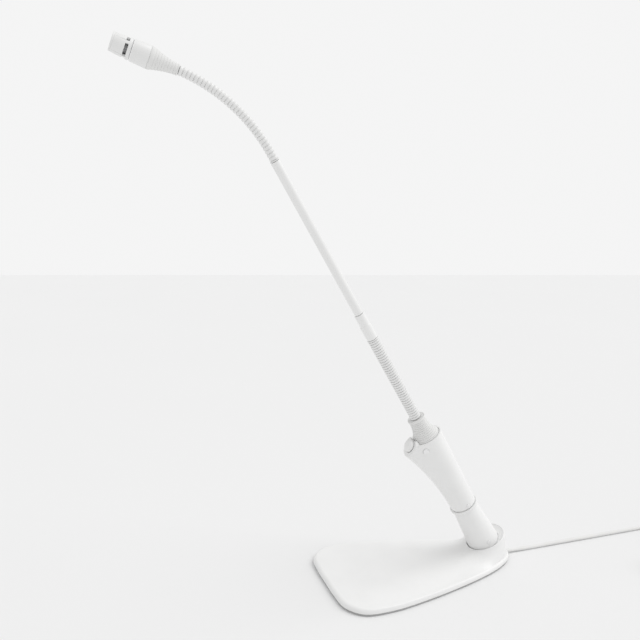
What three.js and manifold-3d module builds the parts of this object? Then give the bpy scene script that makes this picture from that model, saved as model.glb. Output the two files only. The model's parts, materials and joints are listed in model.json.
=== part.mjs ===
// Gooseneck podium microphone on a weighted desk base, in millimetres.
// +X points from the base to the talker, +Z is up, and z = 0 is the desk.
import * as THREE from "three";
import { mergeVertices } from "three/addons/utils/BufferGeometryUtils.js";
import Module from "manifold-3d";

const wasm = await Module();
wasm.setup();

// ---------------------------------------------------------------- driving dimensions

const GAP = 0.3; // running gap kept between pieces that touch

// Base plate, seen from above: it spans X = +-BASE_HALF and tapers to the rear.
const BASE_HALF = 78;
const PLATE_TOP = 5;
const PAD_THICKNESS = 1.3;
const CASTING_BOTTOM = PAD_THICKNESS + GAP;
const BALLAST_THICKNESS = 1.7;

// Column: its axis leans towards the talker and meets the desk at FOOT_X.
// Along it, every station below is a distance from that point.
const LEAN_FROM_VERTICAL = 30;
const FOOT_X = -65.6;
const CONE_BOTTOM = 14.5;
const CONE_TOP = 54.6;
const SHELL_TOP = 125.5;
const LOWER_NECK_START = 143;
const LOWER_NECK_END = 214;
const TUBE_SOCKET_STEP = 227;
const TUBE_SOCKET_END = 236.5;
const TUBE_END = 358.5;
const UPPER_NECK_START = 359.5;

// Upper neck: a short straight lead, then an arc in the column's plane that turns
// from the column's lean to the head's.
const UPPER_NECK_LENGTH = 83.3;
const UPPER_NECK_LEAD = 5;
const UPPER_NECK_TURN = THREE.MathUtils.degToRad(39.9);
const UPPER_NECK_RADIUS = (UPPER_NECK_LENGTH - UPPER_NECK_LEAD) / UPPER_NECK_TURN;
const ARC_START = UPPER_NECK_START + UPPER_NECK_LEAD;

const LOWER_NECK_R = 4.2;
const LOWER_NECK_PITCH = 1.97;
const LOWER_NECK_PIECES = 4;
const UPPER_NECK_R = 3.1;
const UPPER_NECK_PITCH = 2.6;
const UPPER_NECK_PIECES = 6;
const NECK_BORE_R = 1.7;
const TUBE_R = 3.3;

// Head, along its own axis from the end of the upper neck.
const HEAD_BOOT_END = 18.8;
const HOUSING_END = 29.7;
const HEAD_END = 42.8;
const HEAD_BOOT_R = 7.2;
const HOUSING_R = 7.35;
const SEAM_R = 6.9;
const HEAD_FRONT_R = 5.9;
const SLOT_START = 32.4;
const SLOT_END = 34.4;
const SLOT_COUNT = 4;
const SLOT_BRIDGE = THREE.MathUtils.degToRad(17);
const FIRST_BRIDGE = THREE.MathUtils.degToRad(18);

// Latch hump on the front of the socket shell: its face is turned away from the
// column's axis, and the release button slides along the face's normal.
const HUMP_TURN = THREE.MathUtils.degToRad(35);
const BUTTON_R = 5;
const BUTTON_CROWN = 0.6; // underside of the button, over the spring
const BUTTON_SKIRT = 0; // lower edge of its skirt
const BUTTON_PROUD = 4;
const WELL_R = 5.4;
const WELL_RIM_R = 7.8;
const WELL_CENTRE = new THREE.Vector3(14.75, 0, SHELL_TOP + 0.4);

// Audio plug of the usual three-pin kind, used at the neck and on the cable.
const PIN_R = 1.2;
const PIN_CIRCLE_R = 4.4;
const PIN_COUNT = 3;

// Cord: it runs back along the desk and is put away in a round coil, whose outer turn
// it meets along the turn's tangent.
const CORD_R = 1.5;
const CORD_EXIT = new THREE.Vector3(-78.6, 0, 2.3);
const COIL_CENTRE = new THREE.Vector2(-252, 22.6);
const COIL_MEAN_R = 18;
const COIL_HALF_WIDTH = 6.2;
const COIL_HEIGHT = 12.4;
const COIL_BOTTOM = 0.05;
const PLUG_SHELL_R = 9.4;
const CABLE_PLUG_X = -232;
const CABLE_PLUG_Y = 62.6;
const CABLE_PLUG_Z = PLUG_SHELL_R + 0.2;

// ---------------------------------------------------------------- materials

const finish = (color, roughness, metalness) =>
  new THREE.MeshStandardMaterial({ color, roughness, metalness });
const whitePaint = finish(0xe9e9e7, 0.45, 0);
const satinWhiteMetal = finish(0xe2e2e0, 0.35, 0.2);
const paleRubber = finish(0xd9d9d6, 0.75, 0);
const greyRubber = finish(0x8a8a8a, 0.8, 0);
const paleCord = finish(0xdcdcd9, 0.6, 0);
const steel = finish(0xb9bbbd, 0.3, 1);
const brass = finish(0xc9b37a, 0.3, 1);
const insulator = finish(0xc6c6c2, 0.6, 0);
const gauze = finish(0x8f9194, 0.5, 0.8);
const board = finish(0x7f9a84, 0.6, 0);

// ---------------------------------------------------------------- frames

const microphone = new THREE.Group();
const column = new THREE.Group();
column.position.set(FOOT_X, 0, 0);
column.rotation.y = THREE.MathUtils.degToRad(LEAN_FROM_VERTICAL);
microphone.add(column);

const head = new THREE.Group();
head.position.set(
  UPPER_NECK_RADIUS * (1 - Math.cos(UPPER_NECK_TURN)),
  0,
  ARC_START + UPPER_NECK_RADIUS * Math.sin(UPPER_NECK_TURN),
);
head.rotation.y = UPPER_NECK_TURN;
column.add(head);

const latch = new THREE.Group();
latch.position.copy(WELL_CENTRE);
latch.rotation.y = HUMP_TURN;
column.add(latch);

const cablePlug = new THREE.Group();
cablePlug.position.set(CABLE_PLUG_X, CABLE_PLUG_Y, CABLE_PLUG_Z);
cablePlug.rotation.y = Math.PI / 2;
microphone.add(cablePlug);

function add(parent, name, geometry, material) {
  const mesh = new THREE.Mesh(geometry, material);
  mesh.name = name;
  parent.add(mesh);
  return mesh;
}

// ---------------------------------------------------------------- geometry helpers

// A solid of revolution about Z. The profile is a list of [radius, z] that runs
// anticlockwise (up the outside); one that leaves the axis is closed on itself.
function lathe(profile, segments = 20) {
  const points = profile.map(([r, z]) => new THREE.Vector2(r, z));
  const onAxis = profile[0][0] === 0;
  if (!onAxis) points.push(points[0].clone());
  return new THREE.LatheGeometry(points, segments).rotateX(Math.PI / 2);
}

function ring(outerR, innerR, low, high, segments = 20) {
  const profile = [
    [innerR, low],
    [outerR, low],
    [outerR, high],
    [innerR, high],
  ];
  return lathe(profile, segments);
}

function rod(radius, low, high, segments = 16) {
  const profile = [
    [0, low],
    [radius, low],
    [radius, high],
    [0, high],
  ];
  return lathe(profile, segments);
}

function plate(shape, low, high) {
  const settings = { depth: high - low, bevelEnabled: false, curveSegments: 6 };
  return new THREE.ExtrudeGeometry(shape, settings).translate(0, 0, low);
}

function block(sizeX, sizeY, sizeZ, x, y, z) {
  return new THREE.BoxGeometry(sizeX, sizeY, sizeZ).translate(x, y, z);
}

function solid(geometry) {
  const bare = geometry.clone();
  bare.deleteAttribute("normal");
  bare.deleteAttribute("uv");
  const merged = mergeVertices(bare, 1e-4);
  const mesh = new wasm.Mesh({
    numProp: 3,
    vertProperties: new Float32Array(merged.attributes.position.array),
    triVerts: new Uint32Array(merged.index.array),
  });
  return new wasm.Manifold(mesh);
}

function cut(geometry, ...tools) {
  return cutSolid(solid(geometry), ...tools);
}

function cutSolid(whole, ...tools) {
  let body = whole;
  for (const tool of tools) body = body.subtract(solid(tool));
  const mesh = body.getMesh();
  const result = new THREE.BufferGeometry();
  const position = new THREE.BufferAttribute(new Float32Array(mesh.vertProperties), 3);
  result.setAttribute("position", position);
  result.setIndex(new THREE.BufferAttribute(new Uint32Array(mesh.triVerts), 1));
  return result;
}

// A closed skin over rings of points, with a flat lid at each end of the list.
function skin(rings) {
  const count = rings[0].length;
  const middle = (points) =>
    points.reduce((sum, p) => sum.add(p), new THREE.Vector3()).divideScalar(count);
  const points = [middle(rings[0]), ...rings.flat(), middle(rings.at(-1))];
  const at = (level, i) => 1 + level * count + (i % count);
  const faces = [];
  for (let i = 0; i < count; i++) {
    faces.push(0, at(0, i + 1), at(0, i));
    faces.push(points.length - 1, at(rings.length - 1, i), at(rings.length - 1, i + 1));
    for (let level = 0; level + 1 < rings.length; level++) {
      faces.push(at(level, i), at(level, i + 1), at(level + 1, i + 1));
      faces.push(at(level, i), at(level + 1, i + 1), at(level + 1, i));
    }
  }
  const geometry = new THREE.BufferGeometry().setFromPoints(points);
  geometry.setIndex(faces);
  geometry.computeVertexNormals();
  return geometry;
}

// Bends a geometry built along Z, from the upper neck's start, onto its lead and arc.
function bend(geometry) {
  const position = geometry.attributes.position;
  for (let i = 0; i < position.count; i++) {
    const pastLead = position.getZ(i) - UPPER_NECK_LEAD;
    const angle = Math.max(0, pastLead) / UPPER_NECK_RADIUS;
    const reach = UPPER_NECK_RADIUS - position.getX(i);
    position.setX(i, UPPER_NECK_RADIUS - reach * Math.cos(angle));
    position.setZ(i, ARC_START + reach * Math.sin(angle) + Math.min(0, pastLead));
  }
  geometry.computeVertexNormals();
  return geometry;
}

// ---------------------------------------------------------------- base

// The left half of the outline, from the front to the rear; the right half mirrors it.
const sidePoints = [
  [77.9, 18],
  [75.6, 36],
  [65.5, 47.6],
  [46, 49.8],
  [13, 44.5],
  [-36, 31],
  [-61, 20.5],
  [-74, 10.5],
];
const mirrored = sidePoints.map(([x, y]) => [x, -y]).reverse();
const outline = new THREE.CatmullRomCurve3(
  [[BASE_HALF, 0], ...sidePoints, [-BASE_HALF, 0], ...mirrored].map(([x, y]) => new THREE.Vector3(x, y, 0)),
  true,
  "centripetal",
);
const OUTLINE_POINTS = 60;
const SEAT_X = -57; // where the column leaves the casting, seen from above
const SEAT_STATION = 20.4;
const SEAT_FLOOR = CONE_BOTTOM - GAP;
const SEAT_FRONT_R = 13.1;
const SEAT_REAR_R = 17.4;
const SEAT_REAR_DROP = 2.6; // how much lower the lip is at the rear, along the column
const SEAT_DISH_STATION = 17.2; // where the dish inside the lip meets the straight wall
const SEAT_WALL_R = 13;

function outlineShape(inset, rearmost = -BASE_HALF) {
  const shape = new THREE.Shape();
  for (let i = 0; i < OUTLINE_POINTS; i++) {
    const p = outline.getPoint(i / OUTLINE_POINTS);
    p.setLength(p.length() - inset);
    p.x = Math.max(p.x, rearmost);
    if (i === 0) shape.moveTo(p.x, p.y);
    else shape.lineTo(p.x, p.y);
  }
  shape.closePath();
  return shape;
}

// A point of the seat's lip, at an angle round the column from the front.
function seatPoint(angle, station, clearance = 0) {
  const front = (1 + Math.cos(angle)) / 2;
  const r = THREE.MathUtils.lerp(SEAT_REAR_R, SEAT_FRONT_R, front) + clearance;
  return roundColumn(angle, r, station - SEAT_REAR_DROP * (1 - front) ** 2);
}

function roundColumn(angle, r, station) {
  return column.localToWorld(new THREE.Vector3(r * Math.cos(angle), r * Math.sin(angle), station));
}

// Height left of the lip, from 1 at the seat to 0 at the edge: it drops off late
// behind the column and runs out in a long hollow sweep in front of it.
function sweep(t, angle) {
  const front = (1 + Math.cos(angle)) / 2;
  return Math.pow(1 - t, 0.75 + 5.4 * front ** 6);
}

function castingBody() {
  column.updateWorldMatrix(true, false);
  const centre = new THREE.Vector3(SEAT_X, 0, 0);
  const edge = [];
  const angles = [];
  for (let i = 0; i < OUTLINE_POINTS; i++) {
    const p = outline.getPoint(i / OUTLINE_POINTS);
    edge.push(p);
    angles.push(Math.atan2(p.y, p.x - SEAT_X));
  }
  const inset = (distance, height) =>
    edge.map((p) => {
      const ray = p.clone().sub(centre);
      ray.setLength(ray.length() - distance);
      return ray.add(centre).setZ(height);
    });
  const rounding = edge.map((p, i) => 1.2 + (1.8 * (1 + Math.cos(angles[i]))) / 2);
  const roundedEdge = (share) =>
    edge.map((p, i) => {
      const ray = p.clone().sub(centre);
      const turn = (share * Math.PI) / 2;
      ray.setLength(ray.length() - rounding[i] * (1 - Math.cos(turn)));
      return ray.add(centre).setZ(PLATE_TOP - rounding[i] * (1 - Math.sin(turn)));
    });
  const shoulder = roundedEdge(1);
  const lip = angles.map((angle) => seatPoint(angle, SEAT_STATION));
  const lipOutside = angles.map((angle) => seatPoint(angle, SEAT_STATION - 0.3, 1));
  const topRing = (t) =>
    shoulder.map((p, i) => {
      const q = lipOutside[i].clone().lerp(p, t);
      const rise = lipOutside[i].z - PLATE_TOP;
      return q.setZ(PLATE_TOP + rise * sweep(t, angles[i]));
    });
  const slopes = [0.94, 0.84, 0.7, 0.54, 0.4, 0.28, 0.18, 0.1, 0.04].map(topRing);
  const rings = [
    inset(0.3, CASTING_BOTTOM),
    inset(0, CASTING_BOTTOM + 0.3),
    roundedEdge(0),
    roundedEdge(0.5),
    shoulder,
    ...slopes,
    lipOutside,
    lip,
    angles.map((angle) => roundColumn(angle, SEAT_WALL_R, SEAT_DISH_STATION)),
    angles.map((angle) => roundColumn(angle, SEAT_WALL_R - 0.3, SEAT_FLOOR)),
  ];
  return skin(rings);
}

const FLOOR_UNDERSIDE = 12; // station of the plane below the seat that the nut bears on
const BALLAST_REAR = -42;
const SCREW_X = -37;
const SCREW_Y = 10;
const GLAND_R = 2.1;
const GLAND_LENGTH = 12;
const PAD_INSET = 0.5;

function base() {
  const intoColumn = (geometry) => geometry.applyMatrix4(column.matrixWorld);
  const casting = castingBody();
  const ballastPocket = plate(
    outlineShape(7.6, BALLAST_REAR - GAP),
    CASTING_BOTTOM - 1,
    CASTING_BOTTOM + BALLAST_THICKNESS + GAP,
  );
  const nutPocket = intoColumn(rod(8.8, -8, FLOOR_UNDERSIDE, 24));
  const studHole = intoColumn(rod(5.3, FLOOR_UNDERSIDE - 2, SEAT_FLOOR + 2, 24));
  const glandInnerEnd = CORD_EXIT.x + GLAND_LENGTH;
  const glandHole = rod(GLAND_R + 0.1, 0, 20, 16);
  glandHole.rotateY(-Math.PI / 2).translate(glandInnerEnd, 0, CORD_EXIT.z);
  const screwHole = (side) => rod(1.6, CASTING_BOTTOM, 7.2, 12).translate(SCREW_X, side * SCREW_Y, 0);
  add(
    microphone,
    "base_casting",
    cut(casting, ballastPocket, nutPocket, studHole, glandHole, screwHole(1), screwHole(-1)),
    whitePaint,
  );

  const ballastShape = outlineShape(8, BALLAST_REAR);
  for (const side of [1, -1]) {
    const hole = new THREE.Path();
    hole.absarc(SCREW_X, side * SCREW_Y, 1.7, 0, 2 * Math.PI, true);
    ballastShape.holes.push(hole);
  }
  const ballastTop = CASTING_BOTTOM + BALLAST_THICKNESS;
  add(microphone, "ballast_plate", plate(ballastShape, CASTING_BOTTOM, ballastTop), steel);
  for (const [name, side] of [["ballast_screw_left", 1], ["ballast_screw_right", -1]]) {
    const screw = rod(1.3, CASTING_BOTTOM + 0.05, 6.9, 12);
    add(microphone, name, screw.translate(SCREW_X, side * SCREW_Y, 0), steel);
  }
  const pad = plate(outlineShape(PAD_INSET), 0, PAD_THICKNESS);
  const padNotch = block(2 * GLAND_LENGTH, 2 * (GLAND_R + GAP), 6, CORD_EXIT.x, 0, 0);
  add(microphone, "base_foot_pad", cut(pad, padNotch), greyRubber);

  const gland = ring(GLAND_R, CORD_R - GAP, 0, GLAND_LENGTH, 16);
  gland.rotateY(-Math.PI / 2).translate(glandInnerEnd, 0, CORD_EXIT.z);
  add(microphone, "cable_gland", gland, paleRubber);
}

// ---------------------------------------------------------------- column

const CONE_TOP_R = 9.9;
const CONE_TAPER = 2.6 / 34.1;
const CONE_FOOT_R = 12.2;
const STUD_R = 5;
const STUD_BORE_R = STUD_R + GAP;
const NUT_R = 7.4;
const NUT_HEIGHT = 3.8;
const NUT_STATION = 9.8;
const SPIGOT_R = 8.2;
const SPIGOT_BORE_R = 6.8;
const SPIGOT_LENGTH = 9;
const STEM_SCREW_STATION = 22.2;
const STEM_SCREW_R = 1.5;

function stem() {
  const coneR = (station) => CONE_TOP_R + (CONE_TOP - station) * CONE_TAPER;
  const cone = lathe([
    [STUD_BORE_R, CONE_BOTTOM],
    [CONE_FOOT_R, CONE_BOTTOM],
    [coneR(CONE_BOTTOM + 4), CONE_BOTTOM + 4],
    [coneR(CONE_TOP), CONE_TOP],
    [SPIGOT_R, CONE_TOP],
    [SPIGOT_R, CONE_TOP + SPIGOT_LENGTH],
    [SPIGOT_BORE_R, CONE_TOP + SPIGOT_LENGTH],
    [SPIGOT_BORE_R, CONE_BOTTOM + 9],
    [STUD_BORE_R, CONE_BOTTOM + 9],
  ]);
  const screwHole = across(rod(STEM_SCREW_R + 0.2, 5, 14, 12), 0, STEM_SCREW_STATION);
  add(column, "stem_cone", cut(cone, screwHole), whitePaint);
  const grubScrew = across(rod(STEM_SCREW_R, 6.2, 12.45, 12), 0, STEM_SCREW_STATION);
  add(column, "stem_grub_screw", grubScrew, steel);
  add(column, "stem_stud", ring(STUD_R, 2.6, 7, CONE_BOTTOM + 8, 20), steel);
  const hexNut = new THREE.CylinderGeometry(NUT_R, NUT_R, NUT_HEIGHT, 6).rotateX(Math.PI / 2);
  const nutBore = rod(STUD_BORE_R, -NUT_HEIGHT, NUT_HEIGHT, 20);
  add(column, "stem_nut", cut(hexNut, nutBore).translate(0, 0, NUT_STATION), steel);
}

const HUMP_LENGTH = 62;
const HUMP_REACH = 10.9;
const HUMP_FALL = 1.95;
const HUMP_R = 7.6;
const COLLAR_HEIGHT = 1.5;
const COLLAR_STEP = 1.2;
const SHELL_TOP_R = 12.3;
const SHELL_TAPER = 2.1;
const SLEEVE_BORE_R = 9.4;
const SLEEVE_BORE_DEPTH = 34;
const MOUTH_R = 11.2;
const MOUTH_DEPTH = 3;
const SPIGOT_CLEARANCE_R = SPIGOT_R + GAP;
const BOSS_DEPTH = 9;

// The shell is a tapered tube with a hump that swells out at the front towards the top.
function shellRing(station, wider = 0) {
  const fromTop = SHELL_TOP - station;
  const t = fromTop / (SHELL_TOP - CONE_TOP);
  const r = SHELL_TOP_R - SHELL_TAPER * t + wider;
  const swell = Math.max(0, 1 - fromTop / HUMP_LENGTH);
  const humpR = THREE.MathUtils.lerp(r, HUMP_R, swell);
  const reach = r + HUMP_REACH * Math.pow(swell, HUMP_FALL) - humpR;
  const points = [];
  const turnStart = Math.acos(THREE.MathUtils.clamp((r - humpR) / Math.max(reach, 1e-6), -1, 1));
  const arc = (centreX, radius, from, to, count) => {
    for (let i = 0; i < count; i++) {
      const angle = THREE.MathUtils.lerp(from, to, i / (count - 1));
      const x = centreX + radius * Math.cos(angle);
      points.push(new THREE.Vector3(x, radius * Math.sin(angle), station));
    }
  };
  const start = reach > 0.5 ? turnStart : Math.PI / 2;
  arc(reach, humpR, -start, start, 13);
  arc(0, r, start + 0.04, 2 * Math.PI - start - 0.04, 19);
  return points;
}

function socketShell() {
  const bottom = CONE_TOP + GAP;
  const collarTop = bottom + COLLAR_HEIGHT;
  const levels = [0, 0.16, 0.33, 0.49, 0.61, 0.72, 0.82, 0.91, 1];
  const rings = [
    shellRing(bottom, COLLAR_STEP),
    shellRing(collarTop, COLLAR_STEP),
    ...levels.map((t) => shellRing(THREE.MathUtils.lerp(collarTop + 0.1, SHELL_TOP, t))),
  ];
  const wellBoss = rod(WELL_RIM_R, -BOSS_DEPTH, 0, 28).applyMatrix4(latch.matrix);
  const body = solid(skin(rings)).add(solid(wellBoss));
  const humpFace = block(60, 60, 40, 0, 0, 20);
  humpFace.applyMatrix4(latch.matrix);
  const mainBore = rod(SLEEVE_BORE_R, SHELL_TOP - SLEEVE_BORE_DEPTH, SHELL_TOP + 10, 28);
  const mouth = rod(MOUTH_R, SHELL_TOP - MOUTH_DEPTH, SHELL_TOP + 10, 32);
  const lowerBore = rod(SPIGOT_CLEARANCE_R, bottom - 5, SHELL_TOP - SLEEVE_BORE_DEPTH + 1, 24);
  const well = rod(WELL_R, WELL_FLOOR, 5, 20).applyMatrix4(latch.matrix);
  const leverRoom = block(8.7, 5, 11, 2.85, 0, LATCH_WEB_BOTTOM - 5.5).applyMatrix4(latch.matrix);
  const stemHole = rod(STEM_R + 0.35, -BOSS_DEPTH, 0, 12).applyMatrix4(latch.matrix);
  const pivotHole = across(rod(PIVOT_R + 0.15, -PIVOT_HALF - GAP, PIVOT_HALF + GAP, 10), PIVOT_X, PIVOT_Z);
  pivotHole.applyMatrix4(latch.matrix);
  const screwSeat = intoSide(rod(SIDE_HEAD_R + GAP, SIDE_FACE - 1.3, SIDE_FACE + 3, 16));
  const screwHole = intoSide(rod(SIDE_SHANK_R + GAP, SIDE_FACE - 3.9, SIDE_FACE, 12));
  const lockHole = across(rod(LOCK_SCREW_R + 0.25, 6, 14, 12), 0, SHELL_SCREW_STATION);
  return cutSolid(
    body,
    humpFace,
    mainBore,
    mouth,
    lowerBore,
    well,
    leverRoom,
    stemHole,
    pivotHole,
    screwSeat,
    screwHole,
    lockHole,
  );
}

// Turns a solid built along Z to run along Y, and puts it at (x, 0, z).
function across(geometry, x, z) {
  return geometry.rotateX(-Math.PI / 2).translate(x, 0, z);
}

// Places a solid built along Z on the flat side of the hump, square to it.
function intoSide(geometry) {
  geometry.rotateX(-Math.PI / 2).translate(SIDE_SCREW_ALONG, 0, SHELL_TOP - 5.6);
  return geometry.rotateZ(-SIDE_TURN);
}

const SHELL_SCREW_STATION = 59.5;
const SIDE_TURN = THREE.MathUtils.degToRad(16.5);
const SIDE_FACE = 12.15; // distance of the hump's flat side from the column's axis
const SIDE_SCREW_ALONG = 5.3;
const SIDE_HEAD_R = 2.3;
const SIDE_SHANK_R = 1.1;
const LOCK_SCREW_R = 1.25;

// Inside the hump, in the latch's own frame: z runs out along the button's axis.
const WELL_FLOOR = -2.2;
const LATCH_WEB_BOTTOM = -5.4;
const STEM_TIP = -5.7;
const STEM_R = 1.25;
const SPRING_R = 3;
const PIVOT_X = 4.9;
const PIVOT_Z = -8.6;
const PIVOT_R = 0.85;
const PIVOT_HALF = 4.6;
const LEVER_HALF = 2;

function socket() {
  latch.updateMatrix();
  add(column, "socket_shell", socketShell(), whitePaint);

  const lockScrew = across(rod(LOCK_SCREW_R, 8.6, 10.75, 12), 0, SHELL_SCREW_STATION);
  add(column, "shell_lock_screw", lockScrew, steel);
  const sideScrew = lathe(
    [
      [0, SIDE_FACE - 3.7],
      [SIDE_SHANK_R, SIDE_FACE - 3.7],
      [SIDE_SHANK_R, SIDE_FACE - 1],
      [SIDE_HEAD_R, SIDE_FACE - 1],
      [SIDE_HEAD_R, SIDE_FACE + 0.2],
      [SIDE_HEAD_R - 0.4, SIDE_FACE + 0.5],
      [0, SIDE_FACE + 0.5],
    ],
    16,
  );
  add(column, "shell_side_screw", intoSide(sideScrew), steel);

  const pivotPin = across(rod(PIVOT_R, -PIVOT_HALF, PIVOT_HALF, 10), PIVOT_X, PIVOT_Z);
  add(latch, "latch_pivot_pin", pivotPin, steel);
  const leverOutline = new THREE.Shape(
    [
      [-0.6, -6.9],
      [1.6, -7.6],
      [3.3, -9.2],
      [3.6, -11.8],
      [3.1, -13.8],
      [4, -15.1],
      [5.3, -13.6],
      [6.1, -11],
      [6.4, -8.7],
      [5.9, -7.4],
      [4.6, -6.9],
      [1.8, -6],
      [-0.6, -6],
    ].map(([x, z]) => new THREE.Vector2(x, z)),
  );
  const bore = new THREE.Path();
  bore.absarc(PIVOT_X, PIVOT_Z, PIVOT_R + 0.15, 0, 2 * Math.PI, true);
  leverOutline.holes.push(bore);
  const lever = plate(leverOutline, -LEVER_HALF, LEVER_HALF).rotateX(Math.PI / 2);
  add(latch, "latch_lever", lever, steel);

  const domeBase = BUTTON_CROWN + 0.5;
  const domeSteps = 4;
  const domeProfile = [];
  for (let i = 0; i <= domeSteps; i++) {
    const turn = (i * Math.PI) / 2 / domeSteps;
    const r = i === domeSteps ? 0 : BUTTON_R * Math.cos(turn);
    domeProfile.push([r, domeBase + (BUTTON_PROUD - domeBase) * Math.sin(turn)]);
  }
  const button = lathe([
    [0, STEM_TIP],
    [0.6, STEM_TIP],
    [STEM_R, STEM_TIP + 0.9],
    [STEM_R, BUTTON_CROWN],
    [SPRING_R + 0.7, BUTTON_CROWN],
    [SPRING_R + 0.7, BUTTON_SKIRT],
    [BUTTON_R, BUTTON_SKIRT],
    ...domeProfile,
  ]);
  add(latch, "release_button", button, whitePaint);
  const spring = ring(SPRING_R, STEM_R + 0.45, WELL_FLOOR + GAP, BUTTON_CROWN - GAP, 16);
  add(latch, "button_spring", spring, steel);

  const insertTop = SHELL_TOP - 10.4;
  const insert = lathe([
    [0, insertTop - 23.5],
    [9, insertTop - 23.5],
    [9, insertTop - 19.5],
    [7.6, insertTop - 19.5],
    [7.6, insertTop],
    [0, insertTop],
  ]);
  const pinHole = rod(PIN_R + GAP, insertTop - 30, SHELL_TOP, 12);
  const holes = pinPlaces().map(([x, y]) => pinHole.clone().translate(x, y, 0));
  add(column, "socket_insert", cut(insert, ...holes), insulator);
  pinPlaces().forEach(([x, y], i) => {
    const contact = rod(PIN_R, insertTop - 27, insertTop - 10.5, 10).translate(x, y, 0);
    add(column, "socket_contact_" + (i + 1), contact, brass);
  });
}

function pinPlaces() {
  const places = [];
  for (let i = 0; i < PIN_COUNT; i++) {
    const angle = Math.PI / 2 + (i * 2 * Math.PI) / (PIN_COUNT + 0.6);
    places.push([PIN_CIRCLE_R * Math.cos(angle), PIN_CIRCLE_R * Math.sin(angle)]);
  }
  return places;
}

// ---------------------------------------------------------------- plug-in neck

function pinDisc(radius, low, high) {
  const shape = new THREE.Shape();
  shape.absarc(0, 0, radius, 0, 2 * Math.PI);
  for (const [x, y] of pinPlaces()) {
    const hole = new THREE.Path();
    hole.absarc(x, y, PIN_R + 0.25, 0, 2 * Math.PI, true);
    shape.holes.push(hole);
  }
  return plate(shape, low, high);
}

function neckPlug() {
  const top = SHELL_TOP;
  const sleeve = lathe([
    [8.2, top - 22],
    [9, top - 22],
    [9, top - 15],
    [8.6, top - 14.6],
    [8.6, top - 12.4],
    [9, top - 12],
    [9, top - 3.3],
    [5, top - 3.3],
    [5, top - 6],
    [8.2, top - 6],
  ]);
  add(column, "plug_sleeve", sleeve, satinWhiteMetal);
  add(column, "plug_insert", pinDisc(7.9, top - 9.6, top - 6.5), insulator);
  pinPlaces().forEach(([x, y], i) => {
    const pin = rod(PIN_R, top - 20.2, top - 6.3, 10).translate(x, y, 0);
    add(column, "plug_pin_" + (i + 1), pin, brass);
  });

  const bootStart = top - 2.6;
  const bootEnd = LOWER_NECK_START - GAP;
  const boreR = 4.6;
  const flangeR = 10.8;
  const waistR = 6.5;
  const lipR = 7.1;
  const bootProfile = [
    [boreR, bootStart],
    [flangeR, bootStart],
    [flangeR, top + 0.6],
  ];
  const flareSteps = 6;
  for (let i = 1; i <= flareSteps; i++) {
    const t = i / flareSteps;
    const r = waistR + (flangeR - 0.4 - waistR) * Math.pow(1 - t, 2.2);
    bootProfile.push([r, THREE.MathUtils.lerp(top + 0.9, bootEnd - 1.6, t)]);
  }
  bootProfile.push([lipR, bootEnd - 1.2], [lipR, bootEnd], [boreR, bootEnd]);
  add(column, "neck_boot", lathe(bootProfile, 24), paleRubber);
}

// One piece of ribbed hose from one station to the next, with a small gap at each end.
// An end that faces a joint falls back by `slope` for each millimetre of radius, so that
// the two pieces at the joint can tilt without meeting.
function hosePiece(radius, pitch, low, high, lowSlope, highSlope) {
  const rootR = radius - 0.45;
  const from = low + GAP / 2;
  const to = high - GAP / 2;
  const ribbedFrom = from + lowSlope * rootR;
  const ribbedTo = to - highSlope * rootR;
  const ribs = Math.max(1, Math.round((ribbedTo - ribbedFrom) / pitch));
  const step = (ribbedTo - ribbedFrom) / ribs;
  const profile = [[NECK_BORE_R, from + lowSlope * NECK_BORE_R]];
  for (let i = 0; i < ribs; i++) {
    profile.push([rootR, ribbedFrom + i * step], [radius, ribbedFrom + (i + 0.5) * step]);
  }
  profile.push([rootR, ribbedTo], [NECK_BORE_R, to - highSlope * NECK_BORE_R]);
  return lathe(profile, 12);
}

// The joints divide the hose evenly, half a piece in from each end. They bend by turns in
// the column's plane and across it, and tilts lists half of the most that each kind tilts.
function hose(name, radius, pitch, start, length, pieces, tilts, place) {
  const joints = pieces - 1;
  const stations = [start];
  for (let i = 0; i < joints; i++) stations.push(start + (length * (i + 0.5)) / joints);
  stations.push(start + length);
  const slopeAt = (joint) => (joint < 0 || joint === joints ? 0 : Math.tan(tilts[joint % 2]));
  for (let i = 0; i < pieces; i++) {
    const piece = hosePiece(radius, pitch, stations[i], stations[i + 1], slopeAt(i - 1), slopeAt(i));
    add(column, name + "_" + (i + 1), place(piece), satinWhiteMetal);
  }
}

function lowerNeck() {
  const length = LOWER_NECK_END - LOWER_NECK_START;
  const tilts = [8, 11].map(THREE.MathUtils.degToRad);
  const inPlace = (geometry) => geometry;
  const [r, pitch, pieces] = [LOWER_NECK_R, LOWER_NECK_PITCH, LOWER_NECK_PIECES];
  hose("lower_neck", r, pitch, LOWER_NECK_START, length, pieces, tilts, inPlace);
}

function upperNeck() {
  const tilts = [10, 14].map(THREE.MathUtils.degToRad);
  const [r, pitch, pieces] = [UPPER_NECK_R, UPPER_NECK_PITCH, UPPER_NECK_PIECES];
  hose("upper_neck", r, pitch, 0, UPPER_NECK_LENGTH, pieces, tilts, bend);
}

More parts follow.
